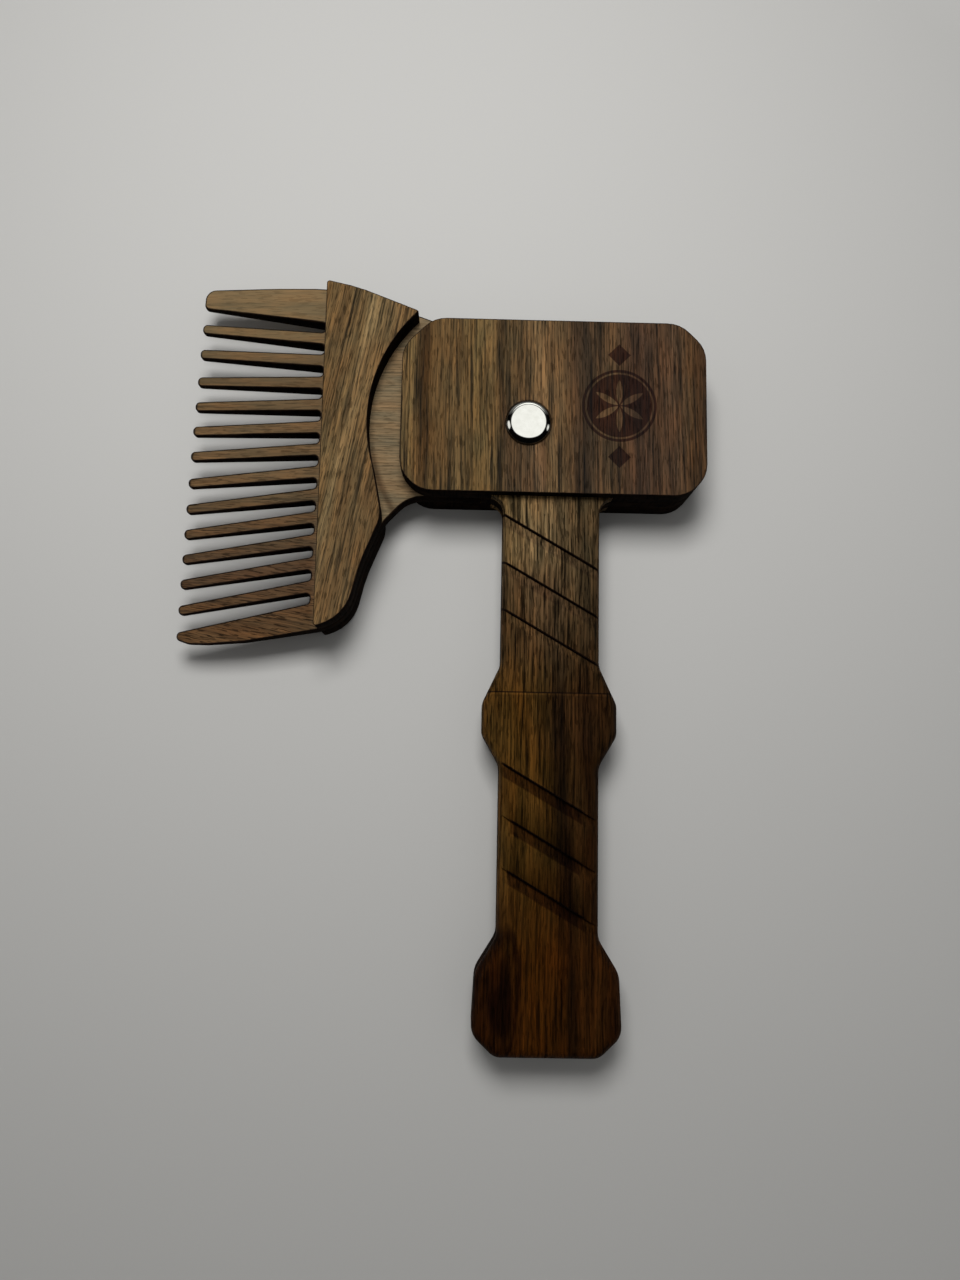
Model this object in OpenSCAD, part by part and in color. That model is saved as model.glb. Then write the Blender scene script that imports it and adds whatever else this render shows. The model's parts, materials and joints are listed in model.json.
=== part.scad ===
// Folding wooden beard comb in the shape of an axe.
// Drawn lying on its back, front face up, with the pivot stud at the drawing's zero point.

/* [Boards] */
// Thickness of the front boards of head and blade
front_board_t = 5; // [4:0.5:8]
// Thickness of the middle board of head and handle
core_board_t = 4; // [3:0.5:6]
// Thickness of the back boards of head and blade
back_board_t = 5; // [4:0.5:8]
// Gap between the comb board and each head cheek
running_gap = 0.1; // [0.05:0.05:0.3]

/* [Head] */
// Width of the head
head_w = 60; // [58:1:66]
// Height of the head
head_h = 35.2; // [34:0.2:37]
// Corner cut at the top of the head, on the blade's side
head_top_chamfer = 6.1; // [5:0.1:7]
// Corner cut at the top of the head, on the far side
head_far_chamfer = 5.1; // [4:0.1:7]
// Corner cut at the foot of the head
head_foot_chamfer = 4; // [3:0.1:6]
// Rounding where a corner cut meets an edge
chamfer_round = 6; // [2:0.5:8]
// Left side of the head to the pivot
pivot_inset = 25; // [23:0.5:26]
// Foot of the head to the pivot
pivot_height = 14; // [13.6:0.2:15]

/* [Blade] */
// Clearance that the blade's inner curve keeps from the head as it swings past
swing_gap = 1.25; // [1:0.05:3]
// Width of the blade from its inner curve to its tooth side
blade_w = 8.9; // [7:0.1:11]
// Top of the head to the top corner of the blade
blade_lift = 7.4; // [6:0.1:9]
// Foot of the head to the foot of the blade
blade_tail = 27; // [24:0.2:30]
// How far the comb board stands proud of the blade's top edge
plate_lip = 0.7; // [0.2:0.1:1]
// How far it stands proud of the blade's horn
neck_lip = 1.2; // [0.8:0.1:1.6]

/* [Comb] */
// Number of slim teeth between the two broad ones
slim_teeth = 12; // [8:1:14]
// Tooth side of the blade to the line of the gap roots
root_gap = 1.1; // [0.8:0.1:3]
// Length of the slim teeth
tooth_len = 25.2; // [20:0.2:28]
// How far the lowest tooth reaches past the slim ones
low_tooth_lead = 1.2; // [0.5:0.1:2]
// How far the lowest tooth hangs below the foot of the blade
low_tooth_hang = 3.2; // [2.5:0.1:5]
// Width of the top tooth at its root
top_tooth_root_w = 7.38; // [6:0.02:9]
// Width of the top tooth at its tip
top_tooth_tip_w = 4.45; // [4:0.01:7]
// Width of the lowest tooth at its root
low_tooth_root_w = 8.4; // [7:0.1:10]
// Width of the lowest tooth at its tip
low_tooth_tip_w = 2.3; // [1.6:0.05:3]
// Width of a slim tooth at its root
tooth_root_w = 2.6; // [2.2:0.1:3]
// Width of a slim tooth at its tip
tooth_tip_w = 2; // [1.6:0.1:2.4]
// Thickness of the teeth at their tips, from the full board at their roots
tooth_tip_t = 1.2; // [0.8:0.1:2]
// Rounding in the gap roots
gap_round = 0.75; // [0.3:0.05:0.9]

/* [Tongue] */
// Radius of the eye round the pivot
eye_r = 10; // [8:0.5:11]
// How far the tongue's trailing shoulder is drawn in from the eye's radius
shoulder_inset = 0.9; // [0.5:0.1:2]
// Gap between the tongue and the board that stops it
stop_gap = 0.25; // [0.15:0.05:0.5]

/* [Handle] */
// Width of the shaft
handle_w = 19; // [16:0.5:20]
// Length of the handle below the head
handle_len = 105.6; // [95:1:120]
// Width across the collar
collar_w = 25.9; // [23:0.1:28]
// Width across the pommel
pommel_w = 28; // [26:0.5:32]
// Thickness of each grip scale
grip_t = 3; // [2.5:0.25:4]
// Height of the square edge that is left below the grip's rounding
grip_land = 0.5; // [0.25:0.05:1.5]
// Radius of the flare under the head
flare_r = 3; // [2:0.25:4]
// Height of the collar's face over the shaft's
collar_step = 0.35; // [0.2:0.05:0.8]

/* [Grooves] */
// Slope of the cut grooves across the handle, in degrees
groove_angle = 30; // [20:1:40]
// Foot of the head to the first shaft groove, on the handle's axis
shaft_groove_drop = 9.2; // [9:0.1:10]
// Pitch of the shaft grooves
shaft_groove_pitch = 9.3; // [8:0.1:9.6]
// Width of a shaft groove
shaft_groove_w = 1.8; // [1:0.1:3]
// Depth of a shaft groove
shaft_groove_deep = 0.7; // [0.4:0.1:1.2]
// Foot of the head to the first grip groove, on the handle's axis
grip_groove_drop = 57.2; // [56:0.1:60]
// Pitch of the grip grooves
grip_groove_pitch = 9.6; // [8:0.1:10]
// Width of a grip groove
grip_groove_w = 2.4; // [1:0.1:3.5]
// Depth of a grip groove
grip_groove_deep = 1; // [0.5:0.1:1.5]

/* [Pivot] */
// Diameter of the post's barrel
post_d = 5; // [4:0.25:6]
// Diameter of the post's cap
cap_d = 9.1; // [8:0.1:11]
// Diameter of the cap's flat top
cap_top_d = 6.8; // [5:0.1:7.5]
// Height of the cap
cap_h = 1.2; // [0.8:0.1:1.6]
// Clearance round the barrel and the shank, on the radius
post_clearance = 0.05; // [0.02:0.01:0.1]
// Gap between the end of the barrel and the screw's head
barrel_end_gap = 0.2; // [0.1:0.05:0.4]
// Diameter of the screw's shank
shank_d = 3; // [2:0.25:3.5]
// Gap between the end of the shank and the end of its hole
shank_end_gap = 0.5; // [0.2:0.1:1]
// Diameter of the screw's head
screw_head_d = 8.8; // [8:0.1:10]
// Clearance round the screw's head, on the radius
screw_clearance = 0.1; // [0.05:0.05:0.3]
// Height of the screw's head
screw_head_h = 1.4; // [1:0.1:2]
// How deep the screw's head sits below the back face
screw_sink = 0.3; // [0.1:0.1:0.5]
// Width of the screwdriver slot
slot_w = 1.2; // [0.8:0.1:1.6]
// Depth of the screwdriver slot
slot_deep = 0.7; // [0.4:0.1:0.8]

/* [Hidden] */

// One overrun for every cut that leaves a face
overrun = 1;
// Finest turn of a rounded corner, in degrees
corner_step = 12;
// Finest turn of the blade's long inner curve, in degrees
sweep_step = 3;
// Finest turn of the eye and of its pocket, in degrees
eye_step = 9;
// Faces round every bore, barrel and cap
round_faces = 96;

// Levels of the board stack, from the back face up
core_floor = back_board_t;
core_roof = core_floor + core_board_t;
front_face = core_roof + front_board_t;
plate_floor = core_floor + running_gap;
plate_t = core_board_t - 2 * running_gap;
plate_roof = plate_floor + plate_t;

// Edges of the head, seen from the pivot
head_left = -pivot_inset;
head_right = head_w - pivot_inset;
head_foot = -pivot_height;
head_top = head_h - pivot_height;
handle_axis = (head_left + head_right) / 2;
handle_end = head_foot - handle_len;

// No rounding of a corner cut takes more than this share of the cut
cut_round_limit_share = 1.65;

// The blade's inner curve runs between these angles about the pivot
horn_angle = 134.5;
heel_angle = 197;
// It clears the head's top left corner when shut, and the head's top edge when open
swing_r = max(
  norm([head_left, head_top - head_top_chamfer]), head_top / sin(horn_angle - 90)
) + swing_gap;

// Blade and comb, worked outwards from the swing
blade_reach = swing_r + blade_w;
blade_rise = head_top + blade_lift;
blade_drop = pivot_height + blade_tail;
root_reach = blade_reach + root_gap;
tip_reach = root_reach + tooth_len;
comb_reach = tip_reach + low_tooth_lead;
comb_top = blade_rise + plate_lip;
comb_foot = blade_drop + low_tooth_hang;

// The part stands on the middle of its own box
origin_x = (head_right - comb_reach) / 2;
origin_y = (comb_top + handle_end) / 2;

// Teeth are counted from the top: the slim ones share what the two broad ones leave
last_tooth = slim_teeth + 2;
root_first = comb_top - top_tooth_root_w + tooth_root_w / 2;
root_last = low_tooth_root_w - comb_foot - tooth_root_w / 2;
root_pitch = (root_first - root_last) / (last_tooth - 1);
tip_first = comb_top - top_tooth_tip_w + tooth_tip_w / 2;
tip_last = low_tooth_tip_w - comb_foot - tooth_tip_w / 2;
tip_pitch = (tip_first - tip_last) / (last_tooth - 1);
// Lean of the root line and of the tip line, from upright, in degrees
root_lean = 0.95;
tip_lean = 1.55;
tooth_tip_round_share = 0.46;
// How far the tips between hang below an even row, by their share of the way down it, as
// shares of a tip's width, and how far the middle of the row bows outwards
tip_drop_shares = [
  [0, 0], [0.16, 0.05], [0.23, 0.35], [0.31, 0.34], [0.42, 0.24], [0.47, 0.25],
  [0.54, 0.39], [0.62, 0.4], [0.7, 0.33], [0.77, 0.21], [0.86, 0.06], [1, 0]
];
tip_bow_share = 0.16;
top_tooth_round_share = 1.1;
// Outer edge of the top tooth, as shares of the slim tips' reach and of the comb's top
top_tooth_bend_shares = [0.77, 1];
top_tooth_tip_shares = [0.989, 0.985];
// Outer edge of the lowest tooth, as shares of the comb's reach and of the tooth's tip width
low_tooth_reach_shares = [1, 0.965, 0.855];
low_tooth_lift_shares = [0.35, 0, 0];
// Roundings of its lower two corners, as shares of a slim tip's width
low_tooth_round_shares = [1.8, 21];
// How much of its blunt end the upper and the lower corner take up
low_tooth_end_shares = [0.49, 0.49];
// Where the teeth start to thin, as a share of the way from the blade to the gap roots
taper_start_share = 0.3;
// No rounding takes more than this share of a gap
gap_round_limit_share = 0.45;

// Toe, waist and heel of the blade, as shares of its reach and its drop
blade_toe_shares = [[0.854, 0.959], [0.792, 0.702], [0.6966, 0.468]];
// Top knee of the blade, as shares of the way from its horn to its top corner
blade_knee_shares = [0.646, 0.76];
// How much of the straight between them the knee and the comb's top corner take up
knee_setback_share = 0.229;
top_setback_share = 0.483;
// Roundings of the blade's corners, as shares of its reach
blade_corner_share = 0.013;
blade_toe_round_shares = [0.215, 0.5, 0.15];
// Rounding where the comb board leaves the lowest tooth for the blade's toe
toe_run_share = 0.2;
horn_tip_share = 0.013;
horn_tip = swing_r * horn_tip_share;

// Tongue: roundings of its leading corner and of its runs into the neck, as shares of the eye
tongue_corner_share = 0.1;
neck_round_share = 0.3;
tongue_round_share = 0.64;
tongue_corner_r = eye_r * tongue_corner_share;
neck_run_r = eye_r * neck_round_share;
tongue_run_r = eye_r * tongue_round_share;
// Where the lower run starts, as a share of the swing
tongue_run_share = 0.74;
shoulder_reach = eye_r - shoulder_inset;
// The eye ends at the top of its last turn
eye_end_angle = 450;

// Handle sides: drops below the head as shares of the handle's length
collar_drop_shares = [0.314, 0.384, 0.441, 0.497];
collar_step_drop_share = 0.366;
pommel_drop_shares = [0.797, 0.858, 0.962, 1];
// Half widths down the pommel, as shares of its own
pommel_half_shares = [0.964, 1, 0.69];
// Corners down the handle are rounder than the grip's edge by these shares of the shaft's width
side_round_share = 0.078;
collar_round_share = 0.028;
pommel_round_shares = [0.128, 0.078, 0.028];
grip_round = grip_t - grip_land;
// Rings that make up the rounded edge of a grip scale
edge_rings = 5;
// The flare under the head starts square and turns to this angle from its own centre
flare_angle = 78;
flare_steps = 6;
// Share of the edge's rounding that is reached at the flare's foot
flare_fade_share = 0.3;
fade_steps = 3;
grooves_per_run = 3;

// Barrel and screw: the post stays solid through this share of the front board
post_solid_share = 0.7;
counterbore_deep = screw_head_h + screw_sink;
barrel_end = counterbore_deep + barrel_end_gap;
tapped_top = front_face - front_board_t * post_solid_share;
shank_top = tapped_top - shank_end_gap;

wood_front = [0.45, 0.33, 0.2];
wood_core = [0.52, 0.42, 0.32];
wood_grip = [0.38, 0.26, 0.15];
bright_steel = [0.78, 0.78, 0.76];

function unit(v) = v / norm(v);
function turn_sign(a, b, c) = cross(b - a, c - b) > 0 ? 1 : -1;

// Points of an arc, both ends included, in turns of no more than step
function arc(centre, r, from, to, step = corner_step) =
  let (steps = max(1, ceil(abs(to - from) / step)))
  [for (i = [0:steps]) let (a = from + (to - from) * i / steps) centre + r * [cos(a), sin(a)]];

// One rounded corner of a path that runs anticlockwise, drawn in by inset
function rounded_corner(a, b, c, r, inset) =
  let (
    to_a = unit(a - b),
    to_c = unit(c - b),
    half = acos(min(1, max(-1, to_a * to_c))) / 2,
    centre = b + unit(to_a + to_c) * r / sin(half),
    side = turn_sign(a, b, c),
    start = b + to_a * r / tan(half) - centre,
    sweep = side * (180 - 2 * half),
    first = atan2(start[1], start[0])
  )
  arc(centre, r - side * inset, first, first + sweep);

// The rounding at b that starts this far before it
function round_from_setback(a, b, c, setback) = setback * tan(acos(unit(a - b) * unit(c - b)) / 2);

function place(corner) = [corner[0], corner[1]];

// A closed outline from a list of [x, y, rounding]
function rounded_outline(corners) =
  let (n = len(corners))
  [
    for (i = [0:n - 1])
      let (
        a = place(corners[(i + n - 1) % n]),
        b = place(corners[i]),
        c = place(corners[(i + 1) % n])
      )
      each (corners[i][2] == 0 ? [b] : rounded_corner(a, b, c, corners[i][2], 0))
  ];

// An open run of rounded corners, whose first and last places only give its directions
function rounded_run(corners, inset = 0) =
  [
    for (i = [1:len(corners) - 2])
      each rounded_corner(
        place(corners[i - 1]), place(corners[i]), place(corners[i + 1]), corners[i][2], inset
      )
  ];

// Where the line through p and q reaches the height y
function meet_height(p, q, y) = [p[0] + (q[0] - p[0]) * (y - p[1]) / (q[1] - p[1]), y];
// A quarter turn clockwise about the pivot, as the comb makes when it opens
function opened(p) = [p[1], -p[0]];

function root_middle(k) =
  let (y = root_first - (k - 1) * root_pitch)
  [-root_reach + y * tan(root_lean), y];
function tip_middle(k) =
  let (
    y = tip_first - (k - 1) * tip_pitch,
    way = (k - 1) / (last_tooth - 1),
    bow = tooth_tip_w * tip_bow_share * sin(180 * way),
    drop = tooth_tip_w * lookup(way, tip_drop_shares)
  )
  [-tip_reach + y * tan(tip_lean) - bow, y - drop];
function tooth_run(k) = unit(tip_middle(k) - root_middle(k));
// The upper side of a tooth has side 1, the lower side has side -1
function root_corner(k, side) =
  let (
    y = root_middle(k)[1] + side * tooth_root_w / 2,
    gap_w = root_pitch - tooth_root_w
  )
  [-root_reach + y * tan(root_lean), y, min(gap_round, gap_w * gap_round_limit_share)];
function tip_corner(k, side) =
  let (run = tooth_run(k), p = tip_middle(k) + side * tooth_tip_w / 2 * [run[1], -run[0]])
  [p[0], p[1], tooth_tip_w * tooth_tip_round_share];
function slim_tooth(k) = [root_corner(k, 1), tip_corner(k, 1), tip_corner(k, -1), root_corner(k, -1)];

function top_tooth() = [
  [-tip_reach * top_tooth_bend_shares[0], comb_top * top_tooth_bend_shares[1], comb_top],
  [
    -tip_reach * top_tooth_tip_shares[0], comb_top * top_tooth_tip_shares[1],
    tooth_tip_w * top_tooth_round_share
  ],
  tip_corner(1, -1),
  root_corner(1, -1)
];
function low_tooth() =
  let (
    root = root_corner(last_tooth, 1),
    upper = [-comb_reach, tip_corner(last_tooth, 1)[1]],
    lower = [
      for (i = [0:2])
        [
          -comb_reach * low_tooth_reach_shares[i],
          low_tooth_tip_w * low_tooth_lift_shares[i] - comb_foot
        ]
    ],
    end_w = norm(upper - lower[0]),
    upper_round = round_from_setback(place(root), upper, lower[0], end_w * low_tooth_end_shares[0]),
    lower_round = round_from_setback(upper, lower[0], lower[1], end_w * low_tooth_end_shares[1])
  )
  [
    root,
    [upper[0], upper[1], upper_round],
    [lower[0][0], lower[0][1], lower_round],
    [lower[1][0], lower[1][1], tooth_tip_w * low_tooth_round_shares[0]],
    [lower[2][0], lower[2][1], tooth_tip_w * low_tooth_round_shares[1]]
  ];

// Blade outline
blade_horn = (swing_r + horn_tip) * [cos(horn_angle), sin(horn_angle)];
blade_top_corner = [-blade_reach, blade_rise];
blade_knee = [
  for (i = [0:1]) blade_horn[i] + (blade_top_corner[i] - blade_horn[i]) * blade_knee_shares[i]
];
knee_setback = norm(blade_top_corner - blade_knee) * knee_setback_share;
knee_round = round_from_setback(blade_horn, blade_knee, blade_top_corner, knee_setback);
lip = [0, plate_lip];

function blade_toe() = [
  for (i = [0:2])
    [
      -blade_reach * blade_toe_shares[i][0], -blade_drop * blade_toe_shares[i][1],
      blade_reach * blade_toe_round_shares[i]
    ]
];

function blade_outline() =
  let (
    inner = arc([0, 0], swing_r, heel_angle, horn_angle, sweep_step),
    last = len(inner) - 1,
    edge = concat(
      [[inner[last][0], inner[last][1], 0]],
      [[blade_horn[0], blade_horn[1], horn_tip / 2]],
      [[blade_knee[0], blade_knee[1], knee_round]],
      [[-blade_reach, blade_rise, blade_reach * blade_corner_share]],
      [[-blade_reach, -blade_drop, blade_reach * blade_corner_share]],
      blade_toe(),
      [[inner[0][0], inner[0][1], 0]]
    )
  )
  concat(rounded_outline(edge), [for (i = [1:last - 1]) inner[i]]);

// Comb board outline: neck, top tooth, slim teeth, lowest tooth, toe, tongue and eye
plate_knee = blade_knee + lip;
plate_horn = blade_horn + [0, neck_lip];
neck_top = meet_height(plate_knee, plate_horn, head_top);
plate_corner = blade_top_corner + lip;
plate_corner_setback = norm(plate_corner - plate_knee) * top_setback_share;
plate_corner_round = round_from_setback(
  plate_knee, plate_corner, [-tip_reach, comb_top], plate_corner_setback
);
eye_start_angle = 180 + acos(shoulder_reach / eye_r);

function comb_outline() =
  let (
    eye = arc([0, 0], eye_r, eye_start_angle, eye_end_angle, eye_step),
    edge = concat(
      [[0, head_top, tongue_corner_r]],
      [[neck_top[0], neck_top[1], neck_run_r]],
      [[plate_knee[0], plate_knee[1], knee_round]],
      [[plate_corner[0], plate_corner[1], plate_corner_round]],
      top_tooth(),
      [for (k = [2:last_tooth - 1]) each slim_tooth(k)],
      low_tooth(),
      [[-blade_reach, -blade_drop, blade_reach * toe_run_share]],
      blade_toe(),
      [[-swing_r * tongue_run_share, head_foot, tongue_run_r]],
      [[-shoulder_reach, head_foot, 0]]
    )
  )
  concat(rounded_outline(edge), eye);

// Handle sides
shaft_half = handle_w / 2;
collar_half = collar_w / 2;
pommel_half = pommel_w / 2;

function side_corners() = [
  [shaft_half, collar_drop_shares[0], side_round_share],
  [collar_half, collar_drop_shares[1], collar_round_share],
  [collar_half, collar_drop_shares[2], collar_round_share],
  [shaft_half, collar_drop_shares[3], side_round_share],
  [shaft_half, pommel_drop_shares[0], side_round_share],
  [pommel_half * pommel_half_shares[0], pommel_drop_shares[1], pommel_round_shares[0]],
  [pommel_half * pommel_half_shares[1], pommel_drop_shares[2], pommel_round_shares[1]],
  [pommel_half * pommel_half_shares[2], pommel_drop_shares[3], pommel_round_shares[2]]
];
function on_side(corner, side) = [
  handle_axis + side * corner[0],
  head_foot - handle_len * corner[1],
  grip_round + handle_w * corner[2]
];

// From the head down one flare: square at the head, drawn in by the full inset below it
function flare(side, inset) =
  let (
    centre = [handle_axis + side * (shaft_half + flare_r), head_foot - flare_r],
    faded = inset * flare_fade_share
  )
  concat(
    [[centre[0] - side * flare_r * cos(flare_angle), head_foot]],
    [
      for (i = [0:flare_steps])
        let (share = i / flare_steps, a = flare_angle * (1 - share))
        centre + (flare_r + faded * share) * [-side * cos(a), sin(a)]
    ],
    [
      for (i = [1:fade_steps])
        let (share = i / fade_steps, drawn_in = faded + (inset - faded) * share)
        [handle_axis + side * (shaft_half - drawn_in), head_foot - flare_r * (1 + share)]
    ]
  );
function reversed(points) = [for (i = [len(points) - 1:-1:0]) points[i]];

// The handle's outline below the head, anticlockwise from the left flare
function handle_outline(inset = 0) =
  let (
    sides = side_corners(),
    n = len(sides),
    path = concat(
      [[handle_axis - shaft_half, head_foot - flare_r, 0]],
      [for (i = [0:n - 1]) on_side(sides[i], -1)],
      [for (i = [0:n - 1]) on_side(sides[n - 1 - i], 1)],
      [[handle_axis + shaft_half, head_foot - flare_r, 0]]
    )
  )
  concat(flare(-1, inset), rounded_run(path, inset), reversed(flare(1, inset)));

// Head outline
function cut_round(chamfer) = min(chamfer_round, chamfer * cut_round_limit_share);
function head_corners() =
  let (
    foot_r = cut_round(head_foot_chamfer),
    far_r = cut_round(head_far_chamfer),
    top_r = cut_round(head_top_chamfer)
  )
  [
    [head_left, head_foot + head_foot_chamfer, foot_r],
    [head_left + head_foot_chamfer, head_foot, foot_r],
    [head_right - head_foot_chamfer, head_foot, foot_r],
    [head_right, head_foot + head_foot_chamfer, foot_r],
    [head_right, head_top - head_far_chamfer, far_r],
    [head_right - head_far_chamfer, head_top, far_r],
    [head_left + head_top_chamfer, head_top, top_r],
    [head_left, head_top - head_top_chamfer, top_r]
  ];
function head_outline() = rounded_outline(head_corners());

// The middle board is the handle's core with the right side of the head, less the pocket
pocket_r = eye_r + stop_gap;
pocket_left = stop_gap - shoulder_reach;
pocket_right = head_top + stop_gap;
pocket_bend = opened(neck_top) + [stop_gap, 0];
pocket_slope_end = opened(plate_horn) + [stop_gap, 0];

function core_blank() =
  let (corners = head_corners())
  concat(
    [[pocket_left, head_foot]],
    handle_outline(),
    rounded_run([for (i = [1:6]) corners[i]]),
    [[pocket_left, head_top]]
  );

// The pocket: room for the eye, and for the tongue from its shut place to its open one
function pocket_outline() =
  let (
    eye_end = 180 + acos(-pocket_left / pocket_r),
    eye_start = 360 - asin(stop_gap / pocket_r),
    eye = arc([0, 0], pocket_r, eye_end, eye_start, eye_step),
    roof = head_top + overrun
  )
  concat(
    eye,
    [[pocket_right, -stop_gap]],
    [pocket_bend],
    [meet_height(pocket_bend, pocket_slope_end, roof)],
    [[pocket_left - overrun, roof]],
    [[pocket_left - overrun, eye[0][1]]]
  );

module board(outline, floor, thickness) {
  translate([0, 0, floor])
    linear_extrude(thickness)
      polygon(outline);
}

module bore(d, floor, roof) {
  translate([0, 0, floor])
    cylinder(d = d, h = roof - floor, $fn = round_faces);
}

// A flat board whose upper edge is rounded, lofted through drawn-in copies of its outline
module eased_scale(thickness, easing) {
  levels = [
    for (i = [0:edge_rings]) let (a = 90 * i / edge_rings)
      [easing * (1 - cos(a)), thickness - easing + easing * sin(a)]
  ];
  rings = concat(
    [[for (p = handle_outline()) [p[0], p[1], 0]]],
    [for (l = levels) [for (p = handle_outline(l[0])) [p[0], p[1], l[1]]]]
  );
  n = len(rings[0]);
  walls = [
    for (r = [0:len(rings) - 2], i = [0:n - 1])
      let (a = r * n + i, b = r * n + (i + 1) % n)
      each [[a, a + n, b], [b, a + n, b + n]]
  ];
  floor_face = [for (i = [0:n - 1]) i];
  roof_face = [for (i = [0:n - 1]) (len(rings) - 1) * n + n - 1 - i];
  polyhedron(
    points = [for (r = rings) each r],
    faces = concat([floor_face, roof_face], walls),
    convexity = 6
  );
}

// One cut groove: a steep upper wall and a long facet that climbs back to the face
module groove(drop, w, deep, face) {
  translate([handle_axis, head_foot - drop, face])
    rotate([0, 0, -groove_angle])
      rotate([90, 0, 90])
        linear_extrude(2 * pommel_w, center = true)
          polygon([[0, overrun], [0, -deep], [-w, 0], [-w * (1 + overrun / deep), overrun]]);
}

// The carved scale, held to the exact length of the handle
module grip_scale() {
  shaft_face = grip_t - collar_step;
  step_y = head_foot - handle_len * collar_step_drop_share;
  resize([0, handle_len, 0])
    difference() {
      eased_scale(grip_t, grip_round);
      translate([handle_axis - pommel_w, step_y, shaft_face])
        cube([2 * pommel_w, head_foot - step_y + overrun, collar_step + overrun]);
      for (i = [0:grooves_per_run - 1]) {
        groove(
          shaft_groove_drop + i * shaft_groove_pitch, shaft_groove_w, shaft_groove_deep, shaft_face
        );
        groove(grip_groove_drop + i * grip_groove_pitch, grip_groove_w, grip_groove_deep, grip_t);
      }
    }
}

// The wedge that thins the teeth from their roots to their tips, above the board's middle
module tooth_wedge() {
  start = blade_reach + root_gap * taper_start_share;
  run = comb_reach - start;
  drop = (plate_t - tooth_tip_t) / 2;
  translate([-start, comb_top + overrun, plate_t / 2])
    rotate([90, 0, 0])
      linear_extrude(comb_top + comb_foot + 2 * overrun)
        polygon([
          [0, 0], [-run - overrun, -drop * (run + overrun) / run], [-run - overrun, overrun],
          [0, overrun]
        ]);
}

module comb_plate() {
  color(wood_core)
    difference() {
      board(comb_outline(), plate_floor, plate_t);
      bore(post_d + 2 * post_clearance, plate_floor - overrun, plate_roof + overrun);
      translate([0, 0, plate_floor + plate_t / 2]) {
        tooth_wedge();
        mirror([0, 0, 1])
          tooth_wedge();
      }
    }
}

module blade_cheek_front() {
  color(wood_front)
    board(blade_outline(), plate_roof, front_board_t);
}

module blade_cheek_back() {
  color(wood_front)
    board(blade_outline(), plate_floor - back_board_t, back_board_t);
}

module head_cheek_front() {
  color(wood_front)
    difference() {
      board(head_outline(), core_roof, front_board_t);
      bore(post_d + 2 * post_clearance, core_roof - overrun, front_face + overrun);
    }
}

module head_cheek_back() {
  color(wood_front)
    difference() {
      board(head_outline(), 0, back_board_t);
      bore(post_d + 2 * post_clearance, -overrun, core_floor + overrun);
      bore(screw_head_d + 2 * screw_clearance, -overrun, counterbore_deep);
    }
}

module handle_core() {
  color(wood_core)
    difference() {
      board(core_blank(), core_floor, core_board_t);
      board(pocket_outline(), core_floor - overrun, core_board_t + 2 * overrun);
    }
}

module grip_scale_front() {
  color(wood_grip)
    translate([0, 0, core_roof])
      grip_scale();
}

module grip_scale_back() {
  color(wood_grip)
    translate([0, 0, core_floor])
      mirror([0, 0, 1])
        grip_scale();
}

module pivot_post() {
  barrel_r = post_d / 2;
  tapped_r = shank_d / 2 + post_clearance;
  color(bright_steel)
    rotate_extrude($fn = round_faces)
      polygon([
        [tapped_r, barrel_end], [barrel_r, barrel_end], [barrel_r, front_face],
        [cap_d / 2, front_face], [cap_top_d / 2, front_face + cap_h], [0, front_face + cap_h],
        [0, tapped_top], [tapped_r, tapped_top]
      ]);
}

module pivot_screw() {
  color(bright_steel)
    difference() {
      rotate_extrude($fn = round_faces)
        polygon([
          [0, screw_sink], [screw_head_d / 2, screw_sink], [screw_head_d / 2, counterbore_deep],
          [shank_d / 2, counterbore_deep], [shank_d / 2, shank_top], [0, shank_top]
        ]);
      translate([-screw_head_d, -slot_w / 2, screw_sink - overrun])
        cube([2 * screw_head_d, slot_w, slot_deep + overrun]);
    }
}

module placed() {
  translate([-origin_x, -origin_y, 0])
    children();
}

placed() comb_plate();
placed() blade_cheek_front();
placed() blade_cheek_back();
placed() head_cheek_front();
placed() head_cheek_back();
placed() handle_core();
placed() grip_scale_front();
placed() grip_scale_back();
placed() pivot_post();
placed() pivot_screw();
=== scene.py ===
# %% [markdown]
# # A folding beard comb in walnut
# The comb lies on its back. It is built of laser cut walnut boards, glued in three layers,
# and one bright metal stud on which the comb swings round the head of its handle.
# The solid parts come from the CAD model. This lesson gives them soft edges, scorched walls
# and walnut grain, and sets the camera and the lights as in the photograph.

# %% Load the CAD parts
import json
import math

import bmesh
import bpy
from mathutils import Matrix, Vector


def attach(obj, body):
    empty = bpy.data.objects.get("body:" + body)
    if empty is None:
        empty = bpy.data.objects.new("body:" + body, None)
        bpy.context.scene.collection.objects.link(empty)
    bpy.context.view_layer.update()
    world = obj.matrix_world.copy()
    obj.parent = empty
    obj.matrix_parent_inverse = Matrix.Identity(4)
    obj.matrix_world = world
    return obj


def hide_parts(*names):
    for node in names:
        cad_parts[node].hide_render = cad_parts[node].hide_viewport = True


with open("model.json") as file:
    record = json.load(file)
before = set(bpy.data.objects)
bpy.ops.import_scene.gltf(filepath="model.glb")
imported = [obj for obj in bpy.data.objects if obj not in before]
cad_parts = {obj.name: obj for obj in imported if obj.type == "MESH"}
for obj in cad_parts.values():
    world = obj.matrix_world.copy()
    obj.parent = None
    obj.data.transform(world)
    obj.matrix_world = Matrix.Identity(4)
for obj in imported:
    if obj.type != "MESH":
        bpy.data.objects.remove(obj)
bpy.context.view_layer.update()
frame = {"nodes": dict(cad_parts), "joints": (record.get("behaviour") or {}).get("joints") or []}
nodes = frame["nodes"]
mm = 0.001
pivot = Vector(frame["joints"][0]["pos_m"])
print("CAD parts:", sorted(nodes))
print("pivot at", [round(value / mm, 2) for value in pivot], "mm")

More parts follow.
